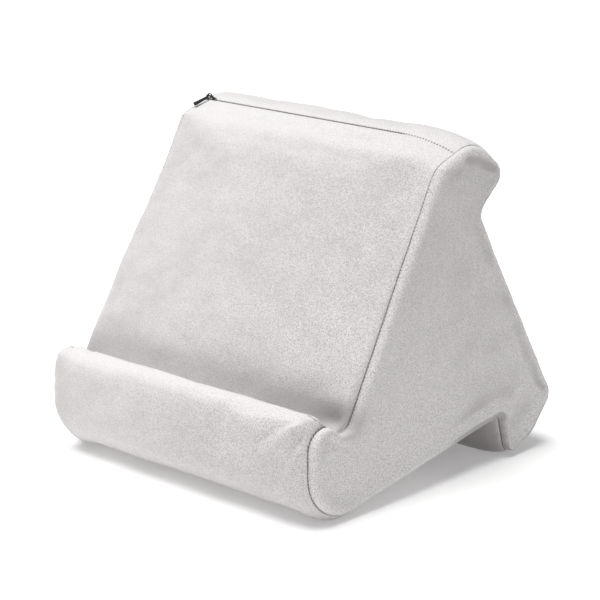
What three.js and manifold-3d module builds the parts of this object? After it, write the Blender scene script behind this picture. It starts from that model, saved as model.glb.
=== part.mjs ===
// A pillow stand for a tablet: a three-cornered foam wedge in a fitted velour cover. The front, the back
// and the underside each end in a soft ledge, so the wedge props a tablet at a different angle on each of
// its three faces. A concealed coil zip in the top seam lets the foam out for washing.
// Millimetres. X runs across the stand, -Y is the front and +Z is up. The origin is on the floor under the
// middle of the stand.
import * as THREE from "three";
import { mergeVertices } from "three/addons/utils/BufferGeometryUtils.js";
import Module from "manifold-3d";

// Driving dimensions
const SEAM_X_AT_FLOOR = 131.2; // from the middle of the stand out to each side seam, at floor level
const SIDE_LEAN = 0.0265; // how far each side seam leans in for every millimetre it rises
const PUFF = 5.6; // how far the stuffed panels stand proud of the side seams
const PUFF_REACH = 12; // the distance in from a side seam over which that swelling builds up
const FLOOR_PRESS = 0.6; // how far the cover is pressed flat where it rests on the floor
const CLOTH = 1.8; // velour, its backing and the pile together
const GAP = 0.3; // clearance between neighbouring pieces
const CORE_GAP = 0.5; // clearance between the foam and the cover

// The outline of a side seam, clockwise from the lip's toe as seen from +X. Each corner has its place,
// the radius that rounds it, and the number of steps in that arc.
const SIDE_SEAM = [
  { name: "lip toe", y: -131.6, z: -1.3, r: 34, steps: 8 },
  { name: "lip crest", y: -129.4, z: 72, r: 16, steps: 5 },
  { name: "lip back", y: -111, z: 70.5, r: 6, steps: 3 },
  { name: "groove front", y: -101, z: 63.8, r: 8, steps: 2 },
  { name: "groove rear", y: -90.7, z: 64.1, r: 8, steps: 3 },
  { name: "face top", y: 6.8, z: 232.1, r: 14, steps: 3 },
  { name: "roll top", y: 44.1, z: 246, r: 26, steps: 5 },
  { name: "roll rear", y: 77.1, z: 216.8, r: 12, steps: 5 },
  { name: "rear notch", y: 49.4, z: 190.8, r: 8, steps: 4 },
  { name: "heel", y: 132.8, z: 40, r: 13, steps: 3 },
  { name: "foot rear", y: 109.7, z: 12.2, r: 22, steps: 4 },
  { name: "foot front", y: 80.6, z: 4.4, r: 5, steps: 3 },
  { name: "under notch", y: 73.2, z: 35, r: 6, steps: 3 },
];
// Away from the sides the lip is slimmer and its groove deeper, because no side panel bridges them.
const MIDDLE_LIP = {
  "lip crest": { y: -135.2, z: 76.5, r: 14 },
  "lip back": { y: -114.5, z: 74.5, r: 6.5 },
  "groove front": { y: -113.4, z: 46, r: 3 },
  "groove rear": { y: -108.2, z: 46, r: 3 },
};
// The seams that run across the stand, as places along a straight stretch after the named corner.
const CROSS_SEAMS = [
  { name: "top seam", after: "face top", share: 0.51 },
  { name: "heel seam", after: "rear notch", share: 0.88 },
  { name: "toe seam", after: "under notch", share: 0.75 },
];

// The zip, in its own frame: X along the zip, Y across it and Z out of the cover's surface.
const ZIP_LEFT = -123.6; // the closed end of the zip
const ZIP_RIGHT = 80; // the end that the slider opens towards
const SLIT = 1.5; // width of the gap that the slider's neck runs in
const TAPE_WIDTH = 7.4;
const TAPE_THICK = 0.6;
const TAPE_TOP = -2.6; // top of the tapes under the cover's surface
const COIL_R = 0.7;
const COIL_Z = -4.2; // axis of both coils
const STOP_LENGTH = 2;
const SLIDER_X = -116.4; // middle of the slider with the zip closed
const SLIDER_LENGTH = 9;
const SLIDER_HALF = 3.9; // half the slider's width
const SLIDER_WALL = 1.2;
const SLIDER_FLOOR_Z = -5.4; // inner face of the slider's lower plate
const NECK = 0.9; // thickness of the slider's two posts, where they pass through the slit
const BRIDGE_Z = 2.6; // axis of the bridge bar above the cover's surface
const BRIDGE_BAR = 0.9;
const BRIDGE_POST_X = 2.9; // middle of each post from the slider's middle
const BRIDGE_POST = 1.1;
const NOSE_LENGTH = 3.6;
const NOSE_LOW = 0.5; // height of the nose's underside over the cover
const NOSE_TIP = 0.5; // thickness of the nose at its tip
const LAP = 0.3; // how far the slider's parts run into each other
const CHANNEL_HALF = 8.6; // half the width of the channel in the foam under the zip
const CHANNEL_DEPTH = 7.6;
const CUT_ABOVE = 3; // how far the slit and the channel are cut past the surface and the left end
const SLIT_DEPTH = 4;
const SLIT_END_ROOM = 1; // from the bottom stop to the right end of the slit
const CHANNEL_END_ROOM = 3;

// The pull tab, in its own frame: the pivot is the origin and the tab hangs along +X.
const TAB_YAW = 69; // degrees, from the zip's left end round towards the front
const TAB_DROOP = 22.8; // degrees below level
const EYE_INNER = 1.3;
const EYE_OUTER = 2.1;
const EYE_THICK = 1;
const TAB_LENGTH = 14.4; // from the pivot to the tab's tip
const TAB_NECK = 1.5;
const TAB_WIDTH = 3.9;
const TAB_THICK = 1.7;
const TAB_WAIST = 0.55; // where the tab's sides start to spread, as a share of its straight length

const rad = THREE.MathUtils.degToRad;
const wasm = await Module();
wasm.setup();

// Materials
const velour = new THREE.MeshStandardMaterial({ color: 0xdcdad9, roughness: 0.95, metalness: 0 });
const foam = new THREE.MeshStandardMaterial({ color: 0xe9e2c4, roughness: 1, metalness: 0 });
const tape = new THREE.MeshStandardMaterial({ color: 0xd2d0cf, roughness: 0.9, metalness: 0 });
const nylon = new THREE.MeshStandardMaterial({ color: 0xcfcdcc, roughness: 0.5, metalness: 0 });
const blackPaint = new THREE.MeshStandardMaterial({ color: 0x17171a, roughness: 0.4, metalness: 0.3 });

// Outlines: closed lists of corners in the YZ plane

// The unit normals of the edges before and after corner i, pointing out of a clockwise outline.
function edgeNormals(corners, i) {
  const before = corners[(i + corners.length - 1) % corners.length];
  const here = corners[i];
  const after = corners[(i + 1) % corners.length];
  const normal = (a, b) => new THREE.Vector2(a.z - b.z, b.y - a.y).normalize();
  return [normal(before, here), normal(here, after)];
}

// The same outline moved outwards by a distance, with its arcs kept concentric.
function offsetCorners(corners, distance) {
  return corners.map((corner, i) => {
    const [n0, n1] = edgeNormals(corners, i);
    const reach = distance / (1 + n0.dot(n1));
    const turnsOut = n0.cross(n1) < 0;
    const radius = corner.r + (turnsOut ? distance : -distance);
    return {
      ...corner,
      y: corner.y + (n0.x + n1.x) * reach,
      z: corner.z + (n0.y + n1.y) * reach,
      r: corner.r === 0 ? 0 : Math.max(radius, 0.5),
    };
  });
}

function mixCorners(a, b, share) {
  const mix = THREE.MathUtils.lerp;
  return a.map((corner, i) => ({
    ...corner,
    y: mix(corner.y, b[i].y, share),
    z: mix(corner.z, b[i].z, share),
    r: mix(corner.r, b[i].r, share),
  }));
}

// Adds each cross seam to an outline as a corner with no radius.
function withCrossSeams(corners) {
  return corners.flatMap((corner, i) => {
    const next = corners[(i + 1) % corners.length];
    const seams = CROSS_SEAMS.filter((seam) => seam.after === corner.name);
    const points = seams.map(({ name, share }) => ({
      ...mixCorners([corner], [next], share)[0],
      name,
      r: 0,
      steps: 0,
    }));
    return [corner, ...points];
  });
}

// Points round an outline, the same number for every outline made from the same corners.
function roundedOutline(corners) {
  return corners.flatMap((corner, i) => {
    if (corner.r === 0) return [{ y: corner.y, z: corner.z, name: corner.name }];
    const [n0, n1] = edgeNormals(corners, i);
    const side = n0.cross(n1) < 0 ? 1 : -1;
    const reach = (corner.r * side) / (1 + n0.dot(n1));
    const centreY = corner.y - (n0.x + n1.x) * reach;
    const centreZ = corner.z - (n0.y + n1.y) * reach;
    const start = Math.atan2(n0.y, n0.x);
    const turn = Math.atan2(n0.cross(n1), n0.dot(n1));
    return Array.from({ length: corner.steps + 1 }, (_, k) => {
      const angle = start + (turn * k) / corner.steps;
      return {
        y: centreY + Math.cos(angle) * corner.r * side,
        z: centreZ + Math.sin(angle) * corner.r * side,
        name: corner.name,
      };
    });
  });
}

function middleCorners() {
  const swollen = offsetCorners(SIDE_SEAM, PUFF);
  return swollen.map((corner) => ({ ...corner, ...MIDDLE_LIP[corner.name] }));
}

// The zip runs straight to the left end, so the top keeps its full height as far as the side seams.
function endCorners(middle) {
  const level = ["face top", "roll top"];
  return SIDE_SEAM.map((corner, i) => (level.includes(corner.name) ? middle[i] : corner));
}

const MIDDLE = middleCorners();
const MIDDLE_SEAMED = withCrossSeams(MIDDLE);
const END_SEAMED = withCrossSeams(endCorners(MIDDLE));

// The outline at a share of the full swelling and at a depth under the cover's surface.
function outlineAt(swelling, depth) {
  const corners = mixCorners(END_SEAMED, MIDDLE_SEAMED, swelling);
  const points = roundedOutline(offsetCorners(corners, -depth));
  const floor = FLOOR_PRESS + depth;
  return points.map((point) => ({ ...point, z: Math.max(point.z, floor) - FLOOR_PRESS }));
}

// The same outline without the points that only mark the cross seams.
function plainOutlineAt(swelling, depth) {
  const marks = CROSS_SEAMS.map((seam) => seam.name);
  return outlineAt(swelling, depth).filter((point) => !marks.includes(point.name));
}

const seamX = (z) => SEAM_X_AT_FLOOR - SIDE_LEAN * z;

// Solids

// The triangles that close the end of a loft whose ring is any simple outline, turning as the ring does.
function outlineCap(ring) {
  const flat = ring.map(([, y, z]) => new THREE.Vector2(y, z));
  const turnsLeft = (points) => THREE.ShapeUtils.area(points) > 0;
  return THREE.ShapeUtils.triangulateShape(flat, []).map(([a, b, c]) =>
    turnsLeft([flat[a], flat[b], flat[c]]) === turnsLeft(flat) ? [a, b, c] : [c, b, a],
  );
}

// The triangles that close the end of a loft whose ring runs out along one line and back along another.
function stripCap(ring) {
  const last = ring.length - 1;
  return Array.from({ length: ring.length / 2 - 1 }, (_, i) => [
    [i, i + 1, last - i],
    [i + 1, last - i - 1, last - i],
  ]).flat();
}

// A closed solid through rings that all have the same number of points, with flat ends.
function loft(rings, cap) {
  const count = rings[0].length;
  const positions = rings.flat().flatMap(([x, y, z]) => [x, y, z]);
  const index = [];
  rings.slice(1).forEach((_, r) => {
    for (let i = 0; i < count; i++) {
      const j = (i + 1) % count;
      const [a, b] = [r * count + i, r * count + j];
      index.push(a, b, a + count, b, b + count, a + count);
    }
  });
  const last = (rings.length - 1) * count;
  cap(rings[0]).forEach(([a, b, c]) => {
    index.push(c, b, a, last + a, last + b, last + c);
  });
  const geometry = new THREE.BufferGeometry();
  geometry.setAttribute("position", new THREE.Float32BufferAttribute(positions, 3));
  geometry.setIndex(index);
  return facingOut(geometry);
}

function facingOut(geometry) {
  const p = geometry.getAttribute("position");
  const corner = (i) => new THREE.Vector3().fromBufferAttribute(p, geometry.index.getX(i));
  let volume = 0;
  for (let i = 0; i < geometry.index.count; i += 3) {
    volume += corner(i).dot(corner(i + 1).cross(corner(i + 2)));
  }
  if (volume < 0) geometry.index.array.reverse();
  return geometry;
}

function toSolid(geometry) {
  const bare = geometry.clone();
  bare.deleteAttribute("normal");
  bare.deleteAttribute("uv");
  const merged = mergeVertices(bare, 1e-4);
  return new wasm.Manifold(
    new wasm.Mesh({
      numProp: 3,
      vertProperties: new Float32Array(merged.attributes.position.array),
      triVerts: new Uint32Array(merged.index.array),
    }),
  );
}

function toGeometry(solid) {
  const made = solid.getMesh();
  const geometry = new THREE.BufferGeometry();
  geometry.setAttribute("position", new THREE.BufferAttribute(made.vertProperties, 3));
  geometry.setIndex(new THREE.BufferAttribute(made.triVerts, 1));
  return geometry;
}

const join = (...parts) => toGeometry(parts.map(toSolid).reduce((a, b) => a.add(b)));
const cut = (body, tool) => toGeometry(toSolid(body).subtract(toSolid(tool)));

// A box between two corners.
function block([x0, y0, z0], [x1, y1, z1]) {
  const box = new THREE.BoxGeometry(x1 - x0, y1 - y0, z1 - z0);
  return box.translate((x0 + x1) / 2, (y0 + y1) / 2, (z0 + z1) / 2);
}

// How far in from a side seam each ring of the cover stands, and how swollen the cover is there.
const RING_INSETS = [0, 1, 4, PUFF_REACH];

function ringStations() {
  const swelling = (inset) => Math.sqrt(1 - (1 - inset / PUFF_REACH) ** 2);
  const right = RING_INSETS.map((inset) => ({ side: 1, inset, swelling: swelling(inset) }));
  const left = right.map((station) => ({ ...station, side: -1 }));
  return [...left, ...right.reverse()];
}

// The stretch of an outline between two cross seams, held back from each by half a gap.
function stretch(points, from, to) {
  const start = points.findIndex((point) => point.name === from);
  const turned = [...points.slice(start), ...points.slice(0, start)];
  const run = turned.slice(0, turned.findIndex((point) => point.name === to) + 1);
  const heldBack = (end, next) => {
    const share = GAP / 2 / Math.hypot(next.y - end.y, next.z - end.z);
    return mixCorners([end], [next], share)[0];
  };
  const first = heldBack(run[0], run[1]);
  const last = heldBack(run.at(-1), run.at(-2));
  return [first, ...run.slice(1, -1), last];
}

// A panel of the cover that runs from one cross seam to the next, from side seam to side seam.
function coverPanel(from, to) {
  const rings = ringStations().map(({ side, inset, swelling }) => {
    const outside = stretch(outlineAt(swelling, 0), from, to);
    const inside = stretch(outlineAt(swelling, CLOTH), from, to);
    return [...outside, ...inside.reverse()].map(({ y, z }) => [side * (seamX(z) - inset), y, z]);
  });
  return loft(rings, stripCap);
}

// Each side panel is a pad with a rolled rim: its depth in from the seam, and how far it stands out.
const SIDE_RIM = [
  { depth: 0, out: 0 },
  { depth: 0, out: 1 },
  { depth: 2.4, out: 2.8 },
  { depth: 7, out: 3.5 },
];

function sidePanel(side) {
  const rings = SIDE_RIM.map(({ depth, out }) =>
    plainOutlineAt(0, depth).map(({ y, z }) => [side * (seamX(z) + GAP + out), y, z]),
  );
  return loft(rings, outlineCap);
}

// The core's rings run the same way round as the inside of the cover, so both bend along the same lines.
function foamCore() {
  const depth = CLOTH + CORE_GAP;
  const rings = ringStations().map(({ side, inset, swelling }) => {
    const points = plainOutlineAt(swelling, depth).reverse();
    return points.map(({ y, z }) => [side * (seamX(z) - inset), y, z]);
  });
  return loft(rings, outlineCap);
}

// The zip's frame stands on the top seam, tilted with the surface there.
const topSeam = outlineAt(1, 0).find((point) => point.name === "top seam");
const faceTop = MIDDLE.find((corner) => corner.name === "face top");
const rollTop = MIDDLE.find((corner) => corner.name === "roll top");
const ZIP_TILT = Math.atan2(rollTop.z - faceTop.z, rollTop.y - faceTop.y);
const zipFrame = new THREE.Matrix4()
  .makeRotationX(ZIP_TILT)
  .setPosition(0, topSeam.y, topSeam.z);

// The slot that the zip takes out of a piece: its half width, its depth and its room past the right end.
function zipSlot(half, depth, endRoom) {
  const left = -SEAM_X_AT_FLOOR - CUT_ABOVE;
  const slot = block([left, -half, -depth], [ZIP_RIGHT + endRoom, half, CUT_ABOVE]);
  return slot.applyMatrix4(zipFrame);
}

const zipSlit = () => zipSlot(SLIT / 2, SLIT_DEPTH, SLIT_END_ROOM);
const zipChannel = () => zipSlot(CHANNEL_HALF, CHANNEL_DEPTH, CHANNEL_END_ROOM);

function zipTape(side) {
  const inner = SLIT / 2;
  const outer = inner + TAPE_WIDTH;
  const [y0, y1] = side < 0 ? [-outer, -inner] : [inner, outer];
  return block([ZIP_LEFT, y0, TAPE_TOP - TAPE_THICK], [ZIP_RIGHT, y1, TAPE_TOP]);
}

// The coil is a plain bar of the coil's outer size, between the two stops.
function zipCoil(side) {
  const length = ZIP_RIGHT - ZIP_LEFT - 2 * (STOP_LENGTH + GAP);
  const bar = new THREE.CylinderGeometry(COIL_R, COIL_R, length, 8).rotateZ(Math.PI / 2);
  return bar.translate((ZIP_LEFT + ZIP_RIGHT) / 2, side * (SLIT / 2 + COIL_R), COIL_Z);
}

function zipStop(left) {
  const half = SLIT / 2 + 2 * COIL_R;
  return block([left, -half, COIL_Z - COIL_R], [left + STOP_LENGTH, half, COIL_Z + COIL_R]);
}

// A channel round both coils, two posts through the slit, and the bridge bar and nose above it.
function zipSlider() {
  const half = SLIDER_LENGTH / 2;
  const barHalf = BRIDGE_BAR / 2;
  const postHalf = BRIDGE_POST / 2;
  const barEnd = BRIDGE_POST_X + postHalf;
  const plateBase = SLIDER_FLOOR_Z - SLIDER_WALL;
  const wallBase = SLIDER_FLOOR_Z - LAP;
  const wallTop = COIL_Z + COIL_R - GAP;
  const wallInner = SLIDER_HALF - SLIDER_WALL;
  const bridgeTop = BRIDGE_Z + barHalf;
  const parts = [
    block([-half, -SLIDER_HALF, plateBase], [half, SLIDER_HALF, SLIDER_FLOOR_Z]),
    block([-half, -SLIDER_HALF, wallBase], [half, -wallInner, wallTop]),
    block([-half, wallInner, wallBase], [half, SLIDER_HALF, wallTop]),
    block([-barEnd, -barHalf, BRIDGE_Z - barHalf], [barEnd, barHalf, bridgeTop]),
    sliderNose(barEnd - LAP),
  ];
  for (const x of [-BRIDGE_POST_X, BRIDGE_POST_X]) {
    parts.push(block([x - postHalf, -NECK / 2, wallBase], [x + postHalf, NECK / 2, bridgeTop]));
  }
  return join(...parts);
}

// The nose tapers from the bridge down to a point over the slit.
function sliderNose(start) {
  const tip = start + NOSE_LENGTH;
  const side = new THREE.Shape([
    new THREE.Vector2(start, NOSE_LOW),
    new THREE.Vector2(tip, NOSE_LOW),
    new THREE.Vector2(tip, NOSE_LOW + NOSE_TIP),
    new THREE.Vector2(start, BRIDGE_Z),
  ]);
  const nose = new THREE.ExtrudeGeometry(side, { depth: NECK, bevelEnabled: false });
  return nose.rotateX(Math.PI / 2).translate(0, NECK / 2, 0);
}

// A ring that turns on the bridge bar, and a flat drop that hangs from it.
function pullTab() {
  const ring = new THREE.Shape().absarc(0, 0, EYE_OUTER, 0, 2 * Math.PI, false);
  ring.holes.push(new THREE.Path().absarc(0, 0, EYE_INNER, 0, 2 * Math.PI, true));
  const eye = new THREE.ExtrudeGeometry(ring, {
    depth: EYE_THICK,
    bevelEnabled: false,
    curveSegments: 10,
  });
  eye.translate(0, 0, -EYE_THICK / 2).rotateX(Math.PI / 2);
  const end = TAB_LENGTH - TAB_WIDTH / 2;
  const start = (EYE_INNER + EYE_OUTER) / 2;
  const drop = new THREE.Shape();
  drop.moveTo(start, -TAB_NECK / 2);
  drop.quadraticCurveTo(end * TAB_WAIST, -TAB_NECK / 2, end, -TAB_WIDTH / 2);
  drop.absarc(end, 0, TAB_WIDTH / 2, -Math.PI / 2, Math.PI / 2, false);
  drop.quadraticCurveTo(end * TAB_WAIST, TAB_NECK / 2, start, TAB_NECK / 2);
  drop.closePath();
  const plate = new THREE.ExtrudeGeometry(drop, {
    depth: TAB_THICK,
    bevelEnabled: false,
    curveSegments: 6,
  });
  plate.translate(0, 0, -TAB_THICK / 2);
  return join(eye, plate);
}

// The assembly
const stand = new THREE.Group();

function place(parent, name, geometry, material) {
  const mesh = new THREE.Mesh(geometry, material);
  mesh.name = name;
  parent.add(mesh);
  return mesh;
}

place(stand, "foam_core", cut(foamCore(), zipChannel()), foam);
place(stand, "front_panel", cut(coverPanel("toe seam", "top seam"), zipSlit()), velour);
place(stand, "back_panel", cut(coverPanel("top seam", "heel seam"), zipSlit()), velour);
place(stand, "bottom_panel", coverPanel("heel seam", "toe seam"), velour);
place(stand, "left_side_panel", sidePanel(-1), velour);
place(stand, "right_side_panel", sidePanel(1), velour);

const zip = new THREE.Group();
zip.applyMatrix4(zipFrame);
stand.add(zip);
place(zip, "zip_tape_front", zipTape(-1), tape);
place(zip, "zip_tape_rear", zipTape(1), tape);
place(zip, "zip_coil_front", zipCoil(-1), nylon);
place(zip, "zip_coil_rear", zipCoil(1), nylon);
place(zip, "zip_top_stop", zipStop(ZIP_LEFT), nylon);
place(zip, "zip_bottom_stop", zipStop(ZIP_RIGHT - STOP_LENGTH), nylon);

const slider = new THREE.Group();
slider.position.x = SLIDER_X;
zip.add(slider);
place(slider, "zip_slider_body", zipSlider(), blackPaint);

// The tab hangs from the middle of the bridge bar, level with the floor's axes and not with the zip's.
const pull = new THREE.Group();
pull.position.set(SLIDER_X, 0, BRIDGE_Z).applyMatrix4(zipFrame);
pull.rotation.set(0, rad(TAB_DROOP), rad(180 + TAB_YAW), "ZYX");
stand.add(pull);
place(pull, "zip_pull_tab", pullTab(), blackPaint);

export default stand;
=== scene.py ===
import math

import bpy
import numpy as np
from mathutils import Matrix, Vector, kdtree, noise
from mathutils.geometry import delaunay_2d_cdt


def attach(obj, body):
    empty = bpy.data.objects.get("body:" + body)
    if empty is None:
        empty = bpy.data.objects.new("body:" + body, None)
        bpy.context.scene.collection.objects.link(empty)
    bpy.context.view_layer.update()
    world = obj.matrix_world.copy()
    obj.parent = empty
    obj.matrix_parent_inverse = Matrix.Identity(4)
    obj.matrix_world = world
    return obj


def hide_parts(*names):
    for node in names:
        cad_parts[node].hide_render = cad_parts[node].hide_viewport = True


# The looks of a velour pillow stand for a tablet, built round its CAD frame.
# It is worked out in millimetres and its meshes are made in metres, both in the CAD model's own frame:
# X runs across the stand, -Y is the front and +Z is up.

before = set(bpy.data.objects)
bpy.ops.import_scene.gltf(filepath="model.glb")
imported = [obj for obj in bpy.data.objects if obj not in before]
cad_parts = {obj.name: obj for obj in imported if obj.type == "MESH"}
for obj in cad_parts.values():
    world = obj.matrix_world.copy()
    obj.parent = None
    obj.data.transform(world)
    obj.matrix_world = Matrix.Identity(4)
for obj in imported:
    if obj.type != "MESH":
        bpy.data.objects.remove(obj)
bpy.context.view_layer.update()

MM = 0.001

# ---------------------------------------------------------------- the cover's shape

SEAM_X_AT_FLOOR = 131.2  # from the middle of the stand out to each side seam, at floor level
SIDE_LEAN = 0.0265  # how far each side seam leans in for every millimetre it rises
PUFF = 5.6  # how far the stuffed panels stand proud of the side seams
PUFF_REACH = 12.0  # the distance in from a side seam over which that swelling builds up
FLOOR_PRESS = 0.6  # how far the cover is pressed flat where it rests on the floor
CLOTH = 1.4  # how thick the velour is with its backing
# The left half is stuffed unevenly: it is drawn in, more so at the lip, but bulges below its top.
LEFT_SHARE = 0.986  # how far out it lies, as a share of the right half
LEFT_LIP_SHARE = 0.964
LEFT_TOE_CUT = 0.045  # how much more the lip's toe is drawn in
LEFT_TOE_HEIGHTS = (42, 6)  # where that cut starts, on the way down, and is full
LEFT_BULGE = 0.052
LEFT_BULGE_HEIGHTS = (0, 60, 120, 205)  # where the bulge starts, is full, starts to fade and has ended
LEFT_LIP_Y = (-104, -120)  # where the groove's share gives way to the lip's
SEAM_GAP = 0.05  # from a panel's edge to the middle of a sewn seam
SLIT_HALF = 0.5  # the same where the zip lies in the seam

# The outline of a side seam, clockwise from the lip's toe as seen from +X: y, z and rounding radius.
SIDE_SEAM = {
    "lip toe": (-131.6, -1.3, 34),
    "lip crest": (-129.4, 72, 16),
    "lip back": (-111, 70.5, 6),
    "groove front": (-101, 63.8, 8),
    "groove rear": (-90.7, 64.1, 8),
    "face top": (6.8, 232.1, 14),
    "top seam": None,
    "roll top": (44.1, 246, 26),
    "roll rear": (77.1, 216.8, 12),
    "rear notch": (49.4, 190.8, 8),
    "heel seam": None,
    "heel": (132.8, 40, 13),
    "foot rear": (109.7, 12.2, 22),
    "foot front": (80.6, 4.4, 5),
    "under notch": (73.2, 35, 6),
    "toe seam": None,
}
SEAM_SHARE = {"top seam": 0.51, "heel seam": 0.88, "toe seam": 0.75}
# Away from the sides the lip is slimmer and its groove deeper, because no side panel bridges them.
MIDDLE_LIP = {
    "lip crest": (-135.2, 80.5, 14),
    "lip back": (-114.5, 79, 6.5),
    "groove front": (-113.4, 46, 3),
    "groove rear": (-108.2, 46, 3),
}
CORNERS = list(SIDE_SEAM)
TOP = ("face top", "roll top")
TOP_DROP = {-1: 1.4, 1: 8.0}  # how far the top falls to its left and right ends
TOP_REACH = {-1: 10.0, 1: 56.0}  # and over what distance
TOP_RADIUS = {-1: 8.0, 1: 25.0}  # how round the face's top is at each end
TOP_EASE = 2.4
# Parts that change over a distance of their own from the side seam's shape to the middle's.
LIP_PARTS = ("lip back", "groove front", "groove rear")
LIP_REACH = 7.0
FOOT_PARTS = ("foot front", "foot rear")
FOOT_REACH = 42.0

ZIP_LEFT = -123.6  # where the zip's tapes end
ZIP_RIGHT = 80.0
SLIT_END = 2.0  # the slit closes over this distance either side of the zip's right end

EDGE_STEPS = [0, 0.12, 0.4, 0.9, 1.7, 2.8, 4.2]  # distances from a seam of a panel's first rows
EDGE_COLUMN = 1.6  # the spacing of the columns after them
CURL_DEPTH = 0.36  # how deep a panel's edge turns into its seam
CURL_REACH = 3.2  # and from how far off


def unit(v):
    return v / np.maximum(np.linalg.norm(v, axis=-1, keepdims=True), 1e-12)


def edge_normals(corners):
    """The normals of the edges before and after each corner, pointing out of a clockwise outline."""
    along = np.roll(corners[..., :2], -1, axis=-2) - corners[..., :2]
    normal = unit(np.stack([-along[..., 1], along[..., 0]], -1))
    return np.roll(normal, 1, axis=-2), normal


def dot_cross(n0, n1):
    return (n0 * n1).sum(-1), n0[..., 0] * n1[..., 1] - n0[..., 1] * n1[..., 0]


def offset(corners, distance):
    """The outline moved outwards by a distance, with its arcs kept concentric."""
    n0, n1 = edge_normals(corners)
    dot, cross = dot_cross(n0, n1)
    moved = corners.copy()
    moved[..., :2] += (n0 + n1) * (distance / (1 + dot))[..., None]
    radius = np.maximum(corners[..., 2] + np.where(cross < 0, distance, -distance), 0.5)
    moved[..., 2] = np.where(corners[..., 2] > 0, radius, 0)
    return moved


def reseam(corners):
    """Puts the cross seams back in their places between the corners beside them."""
    for name, share in SEAM_SHARE.items():
        i = CORNERS.index(name)
        before, after = corners[..., i - 1, :2], corners[..., (i + 1) % len(CORNERS), :2]
        corners[..., i, :2] = before + (after - before) * share
    return corners


def corner_array(table):
    """The corners as rows of y, z and radius. A cross seam is a corner without a radius."""
    return reseam(np.array([table[name] or (0, 0, 0) for name in CORNERS], float))


# The outlines in the middle of the stand and at its left and right side seams.
MIDDLE = offset(corner_array(SIDE_SEAM), PUFF)
for corner_name, values in MIDDLE_LIP.items():
    MIDDLE[CORNERS.index(corner_name)] = values
END = {}
for side_sign in (-1, 1):
    END[side_sign] = corner_array(SIDE_SEAM)
    for corner_name in TOP:
        top_corner = CORNERS.index(corner_name)
        END[side_sign][top_corner] = MIDDLE[top_corner]
        END[side_sign][top_corner, 1] -= TOP_DROP[side_sign]
    END[side_sign][CORNERS.index("face top"), 2] = TOP_RADIUS[side_sign]
    END[side_sign] = reseam(END[side_sign])


def swelling(inset, reach):
    """How far the cloth has swollen at a distance in from its edge, from 0 to 1."""
    t = np.clip(inset / reach, 0, 1)
    return np.sqrt(1 - (1 - t) ** 2)


def column_corners(side, inset):
    """The corners of the cover's outline at distances in from a side seam, one set for each distance."""
    inset = np.asarray(inset, float)
    share = np.repeat(swelling(inset, PUFF_REACH)[:, None], len(CORNERS), 1)
    for name in TOP:
        t = np.clip(inset / TOP_REACH[side], 0, 1)
        share[:, CORNERS.index(name)] = 1 - (1 - t) ** TOP_EASE
    for names, reach in ((LIP_PARTS, LIP_REACH), (FOOT_PARTS, FOOT_REACH)):
        for name in names:
            share[:, CORNERS.index(name)] = swelling(inset, reach)
    corners = END[side] + (MIDDLE - END[side]) * share[..., None]
    return reseam(corners)


def arcs(corners):
    """Each corner's arc: its centre, signed radius, start angle and turn."""
    n0, n1 = edge_normals(corners)
    dot, cross = dot_cross(n0, n1)
    side = np.where(cross < 0, 1, -1)
    signed = corners[..., 2] * side
    centre = corners[..., :2] - (n0 + n1) * (signed / (1 + dot))[..., None]
    return centre, signed, np.arctan2(n0[..., 1], n0[..., 0]), np.arctan2(cross, dot)


def arc_point(arc, i, t):
    """The points and normals at shares of a corner's arc."""
    centre, signed, start, turn = arc
    angle = start[..., i, None] + turn[..., i, None] * t
    spoke = np.stack([np.cos(angle), np.sin(angle)], -1)
    return centre[..., i, None, :] + spoke * signed[..., i, None, None], spoke


def graded(length, spacing, near_start, near_end):
    """Places along a straight stretch, without its ends, closer together beside a seam."""
    low = [d for d in EDGE_STEPS[1:] if near_start and d < length / 2]
    high = [length - d for d in EDGE_STEPS[1:] if near_end and d < length / 2][::-1]
    start, end = (low or [0])[-1], (high or [length])[0]
    steps = max(1, round((end - start) / spacing))
    middle = list(np.linspace(start, end, steps + 1)[1:-1])
    return np.array(low + middle + high) / length


def outline_plan(spacing, fine):
    """The rows of the whole outline: each a corner, and a share of its arc or of the straight after it."""
    arc = arcs(MIDDLE)
    _, signed, _, turn = arc
    rows = []
    for i, name in enumerate(CORNERS):
        if name in SEAM_SHARE:
            rows.append((i, "point", 0.0))
        else:
            steps = max(3, round(abs(signed[i] * turn[i]) / spacing), round(abs(turn[i]) / 0.2))
            rows += [(i, "arc", t) for t in np.linspace(0, 1, steps + 1)]
        j = (i + 1) % len(CORNERS)
        a = arc_point(arc, i, np.array([1.0]))[0][0]
        b = arc_point(arc, j, np.array([0.0]))[0][0]
        length = float(np.linalg.norm(b - a))
        shares = graded(length, spacing, fine and name in SEAM_SHARE, fine and CORNERS[j] in SEAM_SHARE)
        rows += [(i, "line", t) for t in shares]
    return rows


def outline_points(corners, rows):
    """Points and outward normals of the outlines, as arrays of (outline, row, 2)."""
    arc = arcs(corners)
    straight_normals = edge_normals(corners)[1][..., None, :]
    points, normals = [], []
    for i, kind, t in rows:
        n = straight_normals[..., i, :, :]
        if kind == "line":
            a, _ = arc_point(arc, i, np.array([1.0]))
            b, _ = arc_point(arc, (i + 1) % len(CORNERS), np.array([0.0]))
            p = a + (b - a) * t
        elif kind == "point":
            p = corners[..., i, :2][..., None, :]
        else:
            p, n = arc_point(arc, i, np.array([t]))
        points.append(p)
        normals.append(np.broadcast_to(n, p.shape))
    points = np.concatenate(points, axis=-2)
    normals = np.concatenate(normals, axis=-2)
    points[..., 1] = np.maximum(points[..., 1], FLOOR_PRESS) - FLOOR_PRESS
    return points, normals


def seam_x(z):
    """How far out a side seam lies at a height."""
    return SEAM_X_AT_FLOOR - SIDE_LEAN * z


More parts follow.
